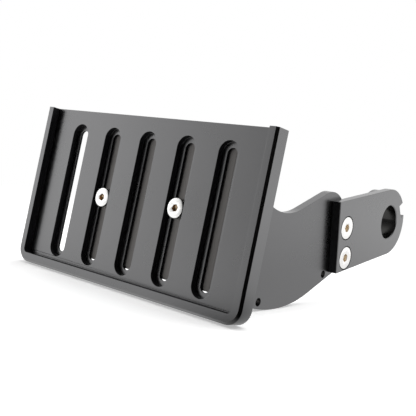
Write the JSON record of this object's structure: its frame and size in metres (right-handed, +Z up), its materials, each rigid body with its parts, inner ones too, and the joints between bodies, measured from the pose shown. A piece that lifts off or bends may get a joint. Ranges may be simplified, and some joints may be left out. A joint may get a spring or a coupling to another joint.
{
  "type": "license plate bracket",
  "caption": "Side-mount motorbike plate bracket: slotted rimmed tray on a bent arm, with a flat link bar bored to hang on the rear axle.",
  "frame": {"origin": "bottom centre of the whole bracket as it stands by itself on its tray edge and arm", "axes": "+X along the tray and the axle, from the free side to the arm; +Y from the plate's face to the axle; +Z up"},
  "size_m": [0.1906, 0.2216, 0.1064],
  "materials": {
    "tray_black": "satin black anodised",
    "arm_black": "satin black coat on steel",
    "link_black": "satin black anodised",
    "screw_bright": "bright plated"
  },
  "bodies": {
    "root": {"plate_tray": "tray_black", "side_arm": "arm_black", "axle_link": "link_black", "link_screws": "screw_bright", "tray_screws": "screw_bright"}
  },
  "joints": []
}
